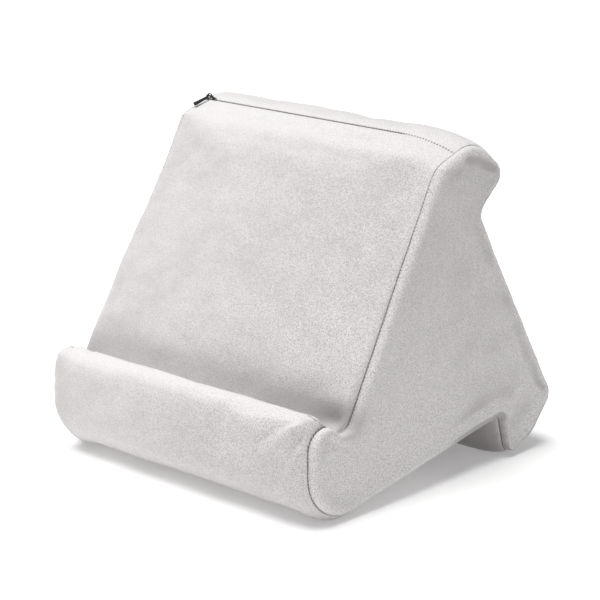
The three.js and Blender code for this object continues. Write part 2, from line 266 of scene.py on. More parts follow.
def column_plan(spacing, fine):
    """(side, inset, share across) of each column of the cover, from the left side seam to the right one."""
    steps = EDGE_STEPS if fine else [0]
    near = steps + list(np.arange(steps[-1] + EDGE_COLUMN, PUFF_REACH, EDGE_COLUMN)) if fine else [0, 4, 8]
    count = round(2 * (SEAM_X_AT_FLOOR - PUFF_REACH) / spacing)
    left = [(-1, d, 0.0) for d in near]
    right = [(1, d, 1.0) for d in near]
    across = [(-1 if t < 0.5 else 1, PUFF_REACH, t) for t in np.linspace(0, 1, count + 1)]
    return left + across + right[::-1]


def tube(rows, spacing, fine):
    """The cover without its side panels, as arrays of (column, row, 3): points, outward normals in the
    plane of the outline, and each column's distance in from its own side seam."""
    plan = column_plan(spacing, fine)
    sides = np.array([c[0] for c in plan])
    base_inset = np.array([c[1] for c in plan])
    across = np.array([c[2] for c in plan])
    half = SEAM_X_AT_FLOOR - PUFF_REACH
    inset = np.where(across < 0.5, across, 1 - across) * 2 * half + base_inset
    points = np.zeros((len(plan), len(rows), 3))
    normals = np.zeros_like(points)
    for side in (-1, 1):
        pick = sides == side
        yz, n = outline_points(column_corners(side, inset[pick]), rows)
        points[pick, :, 1:] = yz
        normals[pick, :, 1:] = n
    inner = seam_x(points[..., 2]) - base_inset[:, None]
    edge = across[:, None] * 2 - 1
    points[..., 0] = inner * edge
    return points, normals, inset


# ---------------------------------------------------------------- mesh tools


def smooth(value, low, high):
    """0 at low and 1 at high, with no kink at either."""
    t = np.clip((value - low) / (high - low), 0, 1)
    return t * t * (3 - 2 * t)


def distances(points):
    """The distance along a line of points from its first point to each."""
    return np.concatenate([[0], np.cumsum(np.linalg.norm(np.diff(points, axis=0), axis=1))])


def cloth_distance(inset):
    """The distance along the swelling cloth from a side seam, at a distance in from it."""
    steps = np.linspace(0, PUFF_REACH, 600)
    rise = PUFF * swelling(steps, PUFF_REACH)
    length = distances(np.column_stack([steps, rise]))
    return np.interp(inset, steps, length) + np.maximum(inset - PUFF_REACH, 0)


def curl(distance):
    """How deep a panel's surface has turned into the seam at a distance from it."""
    t = np.clip(1 - np.asarray(distance, float) / CURL_REACH, 0, 1)
    return CURL_DEPTH * (0.45 * t**2 + 0.55 * t**6)


def vertex_normals(points, faces):
    """The normals of a mesh of triangles and quads, weighed by area."""
    total = np.zeros_like(points)
    for size in (3, 4):
        group = np.array([f for f in faces if len(f) == size])
        if len(group):
            a, b, c = points[group[:, 0]], points[group[:, 1]], points[group[:, 2]]
            n = np.cross(b - a, c - a) if size == 3 else np.cross(c - a, points[group[:, 3]] - b)
            for k in range(size):
                np.add.at(total, group[:, k], n)
    return unit(total)


def new_object(name, points, faces, rounded=True):
    """A mesh object from points in millimetres."""
    mesh = bpy.data.meshes.new(name)
    mesh.from_pydata((points * MM).tolist(), [], [tuple(map(int, f)) for f in faces])
    mesh.validate()
    mesh.update()
    if rounded:
        mesh.shade_smooth()
    thing = bpy.data.objects.new(name, mesh)
    bpy.context.scene.collection.objects.link(thing)
    return thing


def boundary(faces):
    """The edges with one face, in the direction in which that face runs."""
    seen = {}
    for f in faces:
        for k in range(len(f)):
            a, b = f[k], f[(k + 1) % len(f)]
            if (b, a) in seen:
                del seen[(b, a)]
            else:
                seen[(a, b)] = True
    return list(seen)


def cloth_panel(name, outer, inner, faces, facts):
    """A closed piece of cloth from its outer and inner points. Its facts become float attributes."""
    count = len(outer)
    walls = [(b, a, a + count, b + count) for a, b in boundary(faces)]
    under = [tuple(i + count for i in f[::-1]) for f in faces]
    panel = new_object(name, np.concatenate([outer, inner]), faces + under + walls)
    for key, values in facts.items():
        attribute = panel.data.attributes.new(key, "FLOAT", "POINT")
        attribute.data.foreach_set("value", np.concatenate([values, values]).astype(np.float32))
    return panel


def grid_faces(columns, rows, closed=False):
    """The quads of a grid of points, listed column by column. A closed grid's last row joins its first."""
    c, r = np.meshgrid(np.arange(columns - 1), np.arange(rows if closed else rows - 1), indexing="ij")
    a, b = (c * rows + r).ravel(), (c * rows + (r + 1) % rows).ravel()
    return [tuple(q) for q in np.stack([a + rows, b + rows, b, a], -1)]


# ---------------------------------------------------------------- how the cloth lies


def slit_half(x):
    """Half the gap between the edges of the top seam: wider where the zip lies in it."""
    return SEAM_GAP + (SLIT_HALF - SEAM_GAP) * smooth(x, ZIP_RIGHT + SLIT_END, ZIP_RIGHT - SLIT_END)


RIM_DEPTH = 15.0  # how far in from its seam a side panel's rim reaches
RIM_ROLL = 5.6  # radius of the rolled edge
RIM_OUT = 3.6  # the flat of the panel stands this far out of the seam
RIM_FIT = 0.8  # how much of the room inside the outline the rim takes
RIM_CHANGE = 0.45  # the most that its depth changes per millimetre along it
RIM_SHARE = {-1: 0.6, 1: 1.0}  # how far out the left and the right rim stand


def rim_shares(outline, normals):
    """How much of the rim's full depth fits at each row: less where the outline is narrow or turns."""
    limit = np.zeros(len(outline))
    fits = np.ones(len(outline), bool)
    for depth in np.arange(1, RIM_DEPTH / RIM_FIT + 0.5, 0.5):
        fits &= distance_inside(outline - normals * depth, outline) > 0.985 * depth
        limit = np.where(fits, depth, limit)
    room = np.clip(limit * RIM_FIT, 1, RIM_DEPTH)
    steps = np.linalg.norm(np.roll(outline, -1, axis=0) - outline, axis=1)
    for _ in range(2):
        for k in range(len(outline)):
            room[k] = min(room[k], room[k - 1] + RIM_CHANGE * steps[k - 1])
        for k in range(len(outline) - 1, -1, -1):
            after = (k + 1) % len(outline)
            room[k] = min(room[k], room[after] + RIM_CHANGE * steps[k])
    return room / RIM_DEPTH


def side_rings(side, rows, profile):
    """The rings of a side panel's rolled rim."""
    yz, normals = outline_points(END[side][None], rows)
    shares = rim_shares(yz[0], normals[0])
    rings = []
    for depth, out in profile:
        flat = yz[0] - normals[0] * (depth * shares)[:, None]
        rings.append(np.column_stack([side * (seam_x(flat[:, 1]) + out * RIM_SHARE[side]), flat]))
    return rings


def rim_profile(fine):
    """(depth, out) of the rings of a side panel's rolled rim, from the seam inwards."""
    angles = np.linspace(0, math.pi / 2, 13 if fine else 4)
    roll = RIM_ROLL * np.stack([1 - np.cos(angles), np.sin(angles)], -1)
    t = np.linspace(0, 1, 7 if fine else 3)[1:]
    fall = (RIM_ROLL - RIM_OUT) * (0.5 - 0.5 * np.cos(math.pi * t))
    dip = np.stack([RIM_ROLL + (RIM_DEPTH - RIM_ROLL) * t, RIM_ROLL - fall], -1)
    return np.concatenate([roll, dip])


def side_mesh(side, rows, spacing, fine):
    """A side panel's points and faces, and each point's distance from the seam along the cloth."""
    profile = rim_profile(fine)
    rings = side_rings(side, rows, profile)
    along = distances(profile)
    count = len(rows)
    points = list(np.concatenate(rings))
    near = list(np.repeat(along, count))
    # Each quad starts on the ring nearer the seam.
    faces = [f[2:] + f[:2] for f in grid_faces(len(rings), count, closed=True)]
    last = rings[-1]
    flat = last[:, 1:]
    low, high = flat.min(0), flat.max(0)
    line = [(i, (i + 1) % count) for i in range(count)]
    inside = []
    for row, z in enumerate(np.arange(low[1], high[1], spacing * 0.87)):
        inside += [(y, z) for y in np.arange(low[0] + (row % 2) * spacing / 2, high[0], spacing)]
    inside = np.array(inside)
    inside = inside[distance_inside(inside, flat) > spacing * 0.55]
    made = delaunay_2d_cdt([Vector(p) for p in np.concatenate([flat, inside])], line, [], 1, 1e-6)
    start = (len(rings) - 1) * count
    mine = [source[0] for source in made[3]]
    depth = np.maximum(distance_inside(inside, flat), 0)
    for (y, z), d in zip(inside, depth):
        points.append(np.array([side * (seam_x(z) + RIM_OUT * RIM_SHARE[side]), y, z]))
        near.append(along[-1] + d)
    for f in made[2]:
        faces.append(tuple(start + mine[i] for i in f))
    if side < 0:
        faces = [f[::-1] for f in faces]
    return np.array(points), faces, np.array(near)


def distance_inside(points, loop):
    """The distance of points from a closed outline, negative outside it."""
    a, b = loop, np.roll(loop, -1, axis=0)
    best = np.full(len(points), np.inf)
    crossings = np.zeros(len(points), int)
    for p, q in zip(a, b):
        d = q - p
        t = np.clip(((points - p) @ d) / max(d @ d, 1e-12), 0, 1)
        best = np.minimum(best, np.linalg.norm(points - p - t[:, None] * d, axis=1))
        spans = (p[1] > points[:, 1]) != (q[1] > points[:, 1])
        if d[1] != 0:
            crossings += spans & (points[:, 0] < p[0] + (points[:, 1] - p[1]) * d[0] / d[1])
    return np.where(crossings % 2 == 1, best, -best)


# ---------------------------------------------------------------- the stuffing's push on the cover

PINNED_STRETCHES = ("lip back", "groove front", "groove rear", "rear notch", "under notch", "foot front")
SIM_SPACING = 5.5
SIM_FRAMES = 18
SIM_PRESSURE = 2.4
SIM_GROW = 0.012  # the cover is cut this much larger than the foam
SIM_CAP = 2.2  # the most that a point may move
SIM_BLUR = 9.0  # how far the movement of one point is spread over its neighbours
SIM_NEIGHBOURS = 20  # and over how many
SIM_SETTINGS = dict(
    quality=6,
    mass=0.25,
    tension_stiffness=18,
    compression_stiffness=12,
    shear_stiffness=6,
    bending_stiffness=4,
    air_damping=4,
    use_pressure=True,
    uniform_pressure_force=SIM_PRESSURE,
    shrink_min=-SIM_GROW,
    vertex_group_mass="held",
    pin_stiffness=1,
)
LONG_HOLD = 5.0  # how far from a side seam the long panels are held back
SIDE_HOLD = 4.0  # the same on the side panels


def pin_share(name, kind, t):
    """How firmly a row is held: in full on a pinned corner, and less along the straight after it."""
    if name not in PINNED_STRETCHES:
        return 0.0
    return max(0.0, 1 - 4 * t) if kind == "line" else 1.0


def cushion_body(spacing):
    """The whole stand as one closed coarse mesh: points, faces, and how firmly each point is held."""
    rows = outline_plan(spacing, False)
    points, _, inset = tube(rows, spacing, False)
    columns, count = points.shape[:2]
    wrapped = np.concatenate([points, points[:, :1]], axis=1)
    faces = grid_faces(columns, count + 1)
    ring_hold = np.array([pin_share(CORNERS[i], kind, t) for i, kind, t in rows])
    seams = np.array([1.0 if kind == "point" else 0.0 for _, kind, _ in rows])
    hold = np.maximum(ring_hold, seams)[None, :] * np.ones((columns, 1))
    hold = np.maximum(hold, np.clip(1 - inset[:, None] / LONG_HOLD, 0, 1))
    hold = np.concatenate([hold, hold[:, :1]], axis=1)
    all_points, all_faces, all_hold = [wrapped.reshape(-1, 3)], faces, [hold.ravel()]
    base = len(all_points[0])
    for side in (-1, 1):
        side_points, side_faces, near = side_mesh(side, rows, spacing, False)
        all_faces += [tuple(i + base for i in f) for f in side_faces]
        all_points.append(side_points)
        all_hold.append(np.clip(1 - near / SIDE_HOLD, 0, 1))
        base += len(side_points)
    points = np.concatenate(all_points)
    _, first, inverse = np.unique(np.round(points, 2), axis=0, return_index=True, return_inverse=True)
    inverse = inverse.reshape(-1)
    merged = []
    for f in all_faces:
        g = [int(inverse[i]) for i in f]
        if len(set(g)) == len(g):
            merged.append(tuple(g))
    return points[first], merged, np.concatenate(all_hold)[first]


def stuffed_push():
    """Simulates the cover as cloth with pressure inside: places, and how far the cloth moved at each."""
    points, faces, hold = cushion_body(SIM_SPACING)
    body = new_object("stuffed_body", points, faces)
    group = body.vertex_groups.new(name="held")
    for i, weight in enumerate(hold):
        group.add([i], float(weight), "REPLACE")
    cloth = body.modifiers.new("stuffing", "CLOTH")
    for key, value in SIM_SETTINGS.items():
        setattr(cloth.settings, key, value)
    cloth.settings.effector_weights.gravity = 0
    cloth.point_cache.frame_start = 1
    cloth.point_cache.frame_end = SIM_FRAMES
    scene = bpy.context.scene
    for number in range(1, SIM_FRAMES + 1):
        scene.frame_set(number)
    evaluated = body.evaluated_get(bpy.context.evaluated_depsgraph_get())
    moved = np.zeros(len(points) * 3, np.float32)
    evaluated.data.vertices.foreach_get("co", moved)
    moved = moved.reshape(-1, 3) / MM - points
    scene.frame_set(1)
    bpy.data.objects.remove(body)
    size = np.linalg.norm(moved, axis=1, keepdims=True)
    capped = moved * (SIM_CAP * np.tanh(size / SIM_CAP) / np.maximum(size, 1e-9))
    return points, capped


class Push:
    """The simulated movement of the cover, read at any point near it."""

    def __init__(self, places, moves):
        self.moves = moves
        self.tree = kdtree.KDTree(len(places))
        for i, p in enumerate(places):
            self.tree.insert(p, i)
        self.tree.balance()

    def at(self, points):
        result = np.zeros_like(points)
        for k, p in enumerate(points):
            found = self.tree.find_n(p, SIM_NEIGHBOURS)
            weights = np.array([math.exp(-((d / SIM_BLUR) ** 2)) for _, _, d in found])
            result[k] = weights @ self.moves[[i for _, i, _ in found]] / weights.sum()
        return result


# ---------------------------------------------------------------- small folds

# Creases pressed into the cover: where each starts and ends, its half width and its height.
CREASES = [
    ((127, -132, 80), (98, -139, 48), 2.7, 2.6),
    ((121, -133, 82), (88, -139, 55), 3.2, -2.7),
    ((129, -133, 70), (110, -139, 36), 3.0, -2.3),
    ((114, -130, 84), (72, -137, 68), 3.6, 1.6),
    ((128, -134, 58), (104, -139, 22), 3.4, 1.5),
    ((-119, -118, 82), (-124, -138, 62), 2.4, -1.8),
    ((-112, -116, 82), (-116, -139, 64), 2.8, 1.4),
    ((-124, -122, 80), (-127, -138, 68), 2.2, 1.5),
    ((-101, -116, 81), (-106, -138, 68), 2.8, -1.2),
    ((-70, -139, 60), (-96, -139, 30), 6.0, -0.9),
    ((118, -94, 70), (66, -98, 66), 11.0, -1.6),
    ((121, -95, 69), (100, -99, 66), 5.5, -2.9),
    ((126, -86, 81), (100, -89, 79), 5.5, 1.2),
    ((-50, -79, 96), (-28, -84, 88), 5.0, -0.6),
    ((-60, -41, 161), (-30, -36, 172), 9.0, 0.7),
    ((40, -60, 128), (78, -74, 104), 12.0, -0.8),
    ((132, 33, 229), (132, 45, 203), 4.5, -1.2),
    ((132, 23, 226), (132, 32, 200), 6.0, 0.7),
    ((132, 76, 37), (132, 97, 56), 2.8, -0.9),
    ((-132, 34, 226), (-132, 46, 204), 4.5, -1.0),
    ((-132, -20, 60), (-132, 40, 84), 9.0, -0.8),
    ((132, -70, 40), (132, -20, 62), 10.0, -0.7),
]


BUNCH_LIP_Y = -104.0  # the lip lies in front of this
BUNCH_HEIGHT = 1.7
BUNCH_REACH = 13.0  # how far in from a side seam the gathers go
BUNCH_SIZE = 8.5
BUNCH_RIGHT = 0.55  # how strong they are at the right end, where 1 is the left end

SWELL_HEIGHT, SWELL_SIZE = 0.9, 42.0  # slow swells all over
SWELL_START = 14.0  # how far from a seam they are full
PUCKER_HEIGHT, PUCKER_PITCH = 0.2, 8.5  # puckers along the seams
PUCKER_PLACE, PUCKER_WIDTH = 3.2, 4.2  # how far from the seam they lie, and how wide


def crease_heights(points):
    """How far the creases raise or sink the cloth."""
    total = np.zeros(len(points))
    for start, end, width, height in CREASES:
        start, way = np.array(start, float), np.array(end, float) - start
        t = (points - start) @ way / (way @ way)
        inside = np.clip(t, 0, 1)
        distance = np.linalg.norm(points - start - inside[:, None] * way, axis=1)
        total += height * np.exp(-((distance / width) ** 2)) * (1 - 0.6 * inside)
    return total


def bunching(points):
    """Small gathers where the lip's cloth is eased round its two ends."""
    end = np.exp(-(((SEAM_X_AT_FLOOR - np.abs(points[:, 0])) / BUNCH_REACH) ** 2))
    on_lip = np.clip((BUNCH_LIP_Y - points[:, 1]) / 6, 0, 1) * np.clip((points[:, 2] - 30) / 25, 0, 1)
    more_left = np.where(points[:, 0] < 0, 1.0, BUNCH_RIGHT)
    return end * on_lip * more_left * BUNCH_HEIGHT * hum(points, BUNCH_SIZE, 5, 2)


def hum(points, size, seed, octaves=2):
    """Smooth noise between about -1 and 1, with lumps of a size in millimetres."""
    shift = Vector((seed * 17.3, seed * 5.7, seed * 11.1))
    places = [Vector(p) / size + shift for p in points]
    return np.array([noise.fractal(p, 0.6, 2.0, octaves, noise_basis="PERLIN_ORIGINAL") for p in places])


def folds(points, near, run):
    """How far the cloth stands out: slow swells, puckers along the seams, creases and gathers."""
    slow = hum(points, SWELL_SIZE, 1, 2) * SWELL_HEIGHT
    away = np.clip(near / SWELL_START, 0, 1)
    pucker_size = np.exp(-((near - PUCKER_PLACE) / PUCKER_WIDTH) ** 2)
    phase = run / PUCKER_PITCH + 0.9 * hum(points, 26, 2, 1)
    pucker = np.sin(2 * math.pi * phase) * (0.55 + 0.45 * hum(points, 34, 3, 1))
    small = crease_heights(points) + bunching(points)
    return slow * away + PUCKER_HEIGHT * pucker * pucker_size + small * np.clip(near / 2.5, 0, 1)


# ---------------------------------------------------------------- the cover's panels


def left_share(points):
    """How far out a point of the left half lies, as a share of an evenly stuffed cover; 1 on the right."""
    x, y, z = points.T
    low, full, fading, ended = LEFT_BULGE_HEIGHTS
    bulge = LEFT_BULGE * smooth(z, low, full) * smooth(z, ended, fading)
    lip = smooth(y, *LEFT_LIP_Y)
    lip_share = LEFT_LIP_SHARE - LEFT_TOE_CUT * smooth(z, *LEFT_TOE_HEIGHTS)
    share = (LEFT_SHARE + bulge) * (1 - lip) + lip_share * lip
    return np.where(x < 0, share, 1)


def settle(points):
    """The left half takes its uneven shape, and nothing goes through the floor."""
    points[:, 0] *= left_share(points)
    points[:, 2] = np.maximum(points[:, 2], 0)
    return points


def settle_inside(inner, outer):
    """The inside of the cloth follows the outside, and stays above it on the floor."""
    inner[:, 0] *= left_share(inner)
    inner[:, 2] = np.where(outer[:, 2] < 0.4, np.maximum(inner[:, 2], outer[:, 2] + 0.5), inner[:, 2])
    return inner


def rim_highlight(near):
    """How strong the painted highlight is on the roll beside a seam."""
    return np.clip((near - 1) / 1.6, 0, 1) * np.clip((10 - near) / 4.5, 0, 1)


# Painted shade lies around this line in the bottom of the groove, this far from it.
HOLLOW_Y, HOLLOW_Z, HOLLOW_RADIUS = -91.0, 70.0, 12.0
HOLLOW_LEFT = 0.42  # how strongly at the left, where 1 is the right end
HOLLOW_START, HOLLOW_END = 10.0, 112.0  # where along X it grows to that


def groove_shade(points):
    """How dark the painted shade is in the bottom of the groove, most of all at its right end."""
    x, y, z = points.T
    across = np.hypot(y - HOLLOW_Y, z - HOLLOW_Z) / HOLLOW_RADIUS
    return np.exp(-(across**2)) * (HOLLOW_LEFT + (1 - HOLLOW_LEFT) * smooth(x, HOLLOW_START, HOLLOW_END))


def finished_panel(name, flat, normals, sink, faces, near, run, rim_light_share):
    """A panel of cloth from its surface, with its edges turned into the seams by sink."""
    outer = settle(flat + sink)
    depth = CLOTH + 0.55 * curl(near)
    inner = settle_inside(flat - normals * depth[:, None] + sink * 0.75, outer)
    # Two facts carry painted light to the velour: a highlight on the rolled rims and shade in the groove.
    facts = {"seam_near": near, "seam_run": run, "rim_highlight": rim_light_share * rim_highlight(near), "groove_shade": groove_shade(flat)}
    return cloth_panel(name, outer, inner, faces, facts)


def held_seam(distance, start, stop):
    """How freely the stuffing moves the cloth: not at all beside the zip."""
    if "top seam" not in (start, stop):
        return np.ones_like(distance)
    lengths = distance.shape[1]
    beside = np.arange(lengths) > lengths / 2 if stop == "top seam" else np.arange(lengths) < lengths / 2
    return np.where(beside[None, :], np.clip((distance - 4) / 12, 0, 1), 1.0)


def long_panel(name, rows, grid, normals, inset, start, stop, push):
    """One panel of the cover between two cross seams, as far as both side seams."""
    names = [(CORNERS[i], kind) for i, kind, _ in rows]
    first = names.index((start, "point"))
    last = names.index((stop, "point"))
    order = [(first + k) % len(rows) for k in range((last - first) % len(rows) + 1)]
    points = grid[:, order].copy()
    outward = normals[:, order]
    lengths = distances(points[len(points) // 2])
    for row, seam, step in ((0, start, 1), (-1, stop, -1)):
        half = slit_half(points[:, row, 0]) if seam == "top seam" else np.full(len(points), SEAM_GAP)
        direction = unit(points[:, row + step] - points[:, row])
        for k in range(len(EDGE_STEPS)):
            pull = half * (1 - EDGE_STEPS[k] / (EDGE_STEPS[-1] + 1))
            points[:, row + step * k] += direction * pull[:, None]
    columns, count = points.shape[:2]
    end_distance = np.minimum(lengths, lengths[-1] - lengths)[None, :] * np.ones((columns, 1))
    side_distance = cloth_distance(inset)[:, None] * np.ones((1, count))
    near = np.minimum(end_distance, side_distance)
    run = np.where(end_distance < side_distance, points[..., 0], lengths[None, :])
    side = np.sign(points[..., 0])
    bisector = outward.copy()
    bisector[..., 0] = side
    sink = -outward * curl(end_distance)[..., None] - unit(bisector) * curl(side_distance)[..., None]
    faces = grid_faces(columns, count)
    flat = points.reshape(-1, 3)
    face_normals = vertex_normals(flat, faces)
    flat = flat + push(flat) * held_seam(end_distance, start, stop).reshape(-1, 1)
    near, run = near.ravel(), run.ravel()
    flat = flat + face_normals * folds(flat, near, run)[:, None]
    return finished_panel(name, flat, face_normals, sink.reshape(-1, 3), faces, near, run, LONG_RIM_LIGHT)


def side_panel(name, side, rows, spacing, push):
    """The end panel on one side, with its rolled rim."""
    points, faces, near = side_mesh(side, rows, spacing, True)
    count = len(rows)
    run = np.zeros(len(points))
    rim = len(rim_profile(True)) * count
    run[:rim] = np.tile(distances(points[:count]), rim // count)
    normals = vertex_normals(points, faces)
    _, outward = outline_points(END[side][None], rows)
    bisector = np.zeros_like(points)
    bisector[:, 0] = side
    bisector[:rim, 1:] = np.tile(outward[0], (rim // count, 1))
    sink = -unit(bisector) * curl(near)[:, None]
    flat = points + push(points)
    flat = flat + normals * folds(flat, near, run)[:, None]
    return finished_panel(name, flat, normals, sink, faces, near, run, 1)


SPACING = 2.2  # of the panels' points
LONG_RIM_LIGHT = 0.2  # how strong the painted highlight on the rims is on the long panels, as a share of the side panels'
push = Push(*stuffed_push()).at
cover_rows = outline_plan(SPACING, True)
cover_grid, cover_normals, cover_inset = tube(cover_rows, SPACING, True)

PANELS = {
    "front": ("toe seam", "top seam"),
    "back": ("top seam", "heel seam"),
    "bottom": ("heel seam", "toe seam"),
}
cover = {}
for panel_name, (start, stop) in PANELS.items():
    cover[panel_name] = long_panel(
        "velour_" + panel_name, cover_rows, cover_grid, cover_normals, cover_inset, start, stop, push
    )
for side_name, side_sign in (("left", -1), ("right", 1)):
    panel_name = "velour_side_" + side_name
    cover[side_name + "_side"] = side_panel(panel_name, side_sign, cover_rows, SPACING, push)

# ---------------------------------------------------------------- the foam inside

FOAM_DEPTH = 6.5  # from the cover's surface down to the foam
CHANNEL_DROP = 6.0  # how much deeper the channel under the zip is
CHANNEL_HALF = 8.6
CHANNEL_SLOPE = 2.5  # how wide each of its sloping sides is
FOAM_SPACING = 3.0


def foam_wedge():
    """One closed block under the cover, with a channel under the zip."""
    rows = outline_plan(FOAM_SPACING, True)
    edge = np.array([0, 2, 4, 8, PUFF_REACH, 20, 40, 60, 80, 100, SEAM_X_AT_FLOOR - 6])
    sections = [(-1, d) for d in edge] + [(1, d) for d in edge[-2::-1]]
    seam_row = [k for k, (i, kind, _) in enumerate(rows) if CORNERS[i] == "top seam" and kind == "point"][0]
    grid = []
    for side, inset in sections:
        corners = offset(column_corners(side, [inset]), -FOAM_DEPTH)
        yz, outward = outline_points(corners, rows)
        yz, outward = yz[0], outward[0]
        yz[:, 1] += FLOOR_PRESS
        from_seam = np.linalg.norm(yz - yz[seam_row], axis=1)
        drop = np.clip((CHANNEL_HALF + CHANNEL_SLOPE - from_seam) / CHANNEL_SLOPE, 0, 1) * CHANNEL_DROP
        yz = yz - outward * drop[:, None]
        x = side * np.maximum(seam_x(yz[:, 1]) - FOAM_DEPTH - inset, 0)
        grid.append(np.column_stack([x, yz]))
    count = len(rows)
    last = (len(grid) - 1) * count
    faces = grid_faces(len(grid), count, closed=True)
    faces += [tuple(range(count)), tuple(range(last, last + count))[::-1]]
    return new_object("foam_wedge", np.concatenate(grid), faces, rounded=False)


foam = foam_wedge()

# ---------------------------------------------------------------- the zip under the top seam

ZIP_SLIT = 1.5  # between the two tapes
TAPE_WIDTH = 7.4
TAPE_THICK = 0.6
TAPE_TOP = -2.6  # under the cover's surface
TAPE_RIPPLE = 0.12
COIL_R = 0.7
COIL_Z = -4.2  # the coils' middle, under the cover's surface
COIL_PITCH = 1.5
COIL_WIRE = 0.21  # radius of the nylon wire
STOP_ROOM = 2.4  # from a tape's end to its coil's end

seam_place = MIDDLE[CORNERS.index("top seam"), :2]
zip_along = MIDDLE[CORNERS.index("roll top"), :2] - MIDDLE[CORNERS.index("face top"), :2]
zip_across = zip_along / np.linalg.norm(zip_along)
zip_up = np.array([-zip_across[1], zip_across[0]])


def zip_points(x, across, up):
    """Points given in the zip's frame: along it, across it, and up out of the cover."""
    yz = seam_place - [0, FLOOR_PRESS] + np.outer(across, zip_across) + np.outer(up, zip_up)
    return np.column_stack([x, yz])


def zip_tape(name, side):
    """A woven strip under the cover's edge, with a little ripple that grows towards its outer side."""
    along = np.linspace(ZIP_LEFT, ZIP_RIGHT, 205)
    out = np.linspace(ZIP_SLIT / 2, ZIP_SLIT / 2 + TAPE_WIDTH, 10)
    x, across = (v.ravel() for v in np.meshgrid(along, out, indexing="ij"))
    ripple = TAPE_RIPPLE * np.sin(x / 7.5 + side) * (across - ZIP_SLIT / 2) / TAPE_WIDTH
    top = zip_points(x, across * side, TAPE_TOP - TAPE_RIPPLE + ripple)
    under = zip_points(x, across * side, TAPE_TOP - TAPE_RIPPLE + ripple - TAPE_THICK + 2 * TAPE_RIPPLE)
    faces = grid_faces(len(along), len(out))
    if side < 0:
        faces = [f[::-1] for f in faces]
    return cloth_panel(name, top, under, faces, {})


def sweep(name, route, radius, sides):
    """A round wire along a route, closed at both ends."""
    tangent = unit(np.gradient(route, axis=0))
    first = unit(np.cross(tangent, np.array([1.0, 0, 0])))
    second = np.cross(tangent, first)
    turns = np.linspace(0, 2 * math.pi, sides, endpoint=False)
    ring = [route + radius * (math.cos(a) * first + math.sin(a) * second) for a in turns]
    points = np.stack(ring, axis=1).reshape(-1, 3)
    faces = [f[::-1] for f in grid_faces(len(route), sides, closed=True)]
    last = (len(route) - 1) * sides
    faces += [tuple(range(sides))[::-1], tuple(range(last, last + sides))]
    return new_object(name, points, faces)


def zip_coil(name, side):
    """A nylon wire wound into a helix along the edge of its tape."""
    low, high = ZIP_LEFT + STOP_ROOM, ZIP_RIGHT - STOP_ROOM
    turns = (high - low - 2 * COIL_WIRE) / COIL_PITCH
    t = np.linspace(0, turns, round(turns * 12))
    angle = 2 * math.pi * t
    reach = COIL_R - COIL_WIRE
    x = low + COIL_WIRE + t * COIL_PITCH
    across = ZIP_SLIT / 2 + COIL_R + reach * np.cos(angle)
    return sweep(name, zip_points(x, side * across, COIL_Z + reach * np.sin(angle)), COIL_WIRE, 6)


tapes = {"front": zip_tape("woven_tape_front", -1), "rear": zip_tape("woven_tape_rear", 1)}
coils = {"front": zip_coil("nylon_coil_front", -1), "rear": zip_coil("nylon_coil_rear", 1)}

# ---------------------------------------------------------------- materials


class Recipe:
    """A material's nodes, made one after the other."""

    def __init__(self, name):
        self.material = bpy.data.materials.new(name)
        self.material.use_nodes = True
        self.tree = self.material.node_tree
        self.shader = next(n for n in self.tree.nodes if n.type == "BSDF_PRINCIPLED")
        self.place = self.tree.nodes.new("ShaderNodeTexCoord").outputs["Object"]

    def set(self, **values):
        for name, value in values.items():
            self.shader.inputs[name.replace("_", " ")].default_value = value

    def link(self, source, target):
        if isinstance(source, (int, float, tuple)):
            target.default_value = source
        else:
            self.tree.links.new(source, target)

    def node(self, kind, **inputs):
        """Adds a node, with its inputs set or linked by their names."""
        made = self.tree.nodes.new("ShaderNode" + kind)
        for name, value in inputs.items():
            self.link(value, made.inputs[name])
        return made

    def math(self, operation, a, b=0.0, clamp=False):
        node = self.node("Math")
        node.operation = operation
        node.use_clamp = clamp
        self.link(a, node.inputs[0])
        self.link(b, node.inputs[1])
        return node.outputs[0]

    def times(self, a, b):
        return self.math("MULTIPLY", a, b)

    def ranged(self, value, low, high, to_low=0.0, to_high=1.0):
        node = self.node("MapRange")
        node.interpolation_type = "SMOOTHSTEP"
        for socket, v in zip(node.inputs, (value, low, high, to_low, to_high)):
            self.link(v, socket)
        return node.outputs[0]

    def stretched(self, scale, turn):
        return self.node("Mapping", Scale=scale, Rotation=turn, Vector=self.place).outputs[0]

    def noise(self, scale, detail, roughness, distortion=0.0, place=None):
        node = self.node("TexNoise", Scale=scale, Detail=detail, Roughness=roughness, Distortion=distortion)
        self.link(place or self.place, node.inputs["Vector"])
        return node.outputs["Fac"]

    def cells(self, scale):
        return self.node("TexVoronoi", Scale=scale, Vector=self.place).outputs["Distance"]

    def attribute(self, name):
        node = self.node("Attribute")
        node.attribute_name = name
        return node.outputs["Fac"]

    def mix(self, share, a, b):
        node = self.node("Mix")
        node.data_type = "RGBA"
        self.link(share, node.inputs["Factor"])
        first, second = (s for s in node.inputs if s.type == "RGBA")
        self.link(a, first)
        self.link(b, second)
        return next(s for s in node.outputs if s.type == "RGBA")

    def bump(self, height, strength, distance):
        node = self.node("Bump", Strength=strength, Distance=distance, Height=height)
        self.link(node.outputs[0], self.shader.inputs["Normal"])

    def axis(self, letter):
        """A point's place along an axis, in metres."""
        return self.node("SeparateXYZ", Vector=self.place).outputs[letter]

    def facing(self, letter):
        """How far the surface faces along an axis, from -1 to 1."""
        normal = self.node("NewGeometry").outputs["Normal"]
        return self.node("SeparateXYZ", Vector=normal).outputs[letter]

    def color(self, value):
        self.link(value, self.shader.inputs["Base Color"])

    def roughness(self, value):
        self.link(value, self.shader.inputs["Roughness"])


